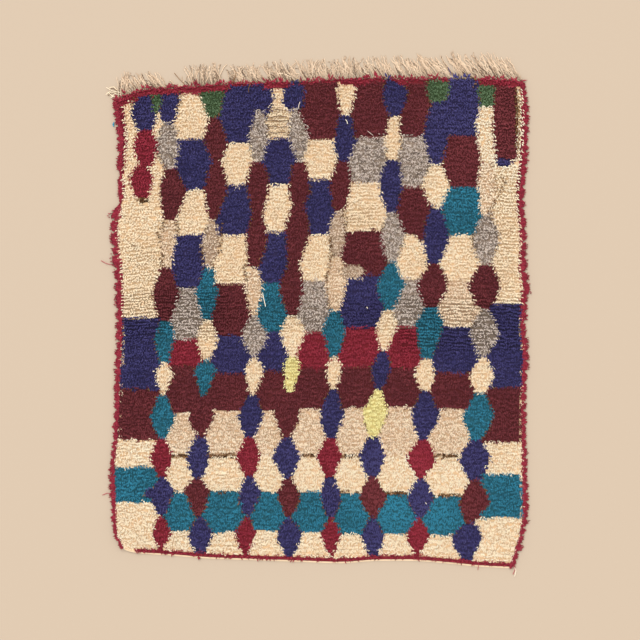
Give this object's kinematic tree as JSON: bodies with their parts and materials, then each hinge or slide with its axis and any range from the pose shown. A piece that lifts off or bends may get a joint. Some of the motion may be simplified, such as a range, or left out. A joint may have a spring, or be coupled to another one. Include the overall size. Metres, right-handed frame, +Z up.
{
  "type": "azilal pile rug with a warp fringe",
  "caption": "Hand-knotted wool pile rug with uneven edges, overcast sides and a cut warp fringe at one end, lying flat.",
  "frame": {"origin": "bottom centre of the whole rug with its fringe, on the surface it lies on", "axes": "+Y along the rug towards its fringe, +X across it, +Z up out of the pile"},
  "size_m": [1.3778, 1.6856, 0.0169],
  "materials": {
    "pile_wool": "knotted wool pile in cream, grey, navy, oxblood, crimson, teal, green and lime",
    "binding_wool": "crimson wool overcast over the outer warps",
    "warp_wool": "undyed spun wool warp ends"
  },
  "bodies": {
    "root": {"rug_body": "pile_wool", "selvedge_left": "binding_wool", "selvedge_right": "binding_wool", "fringe": "warp_wool"}
  },
  "joints": []
}
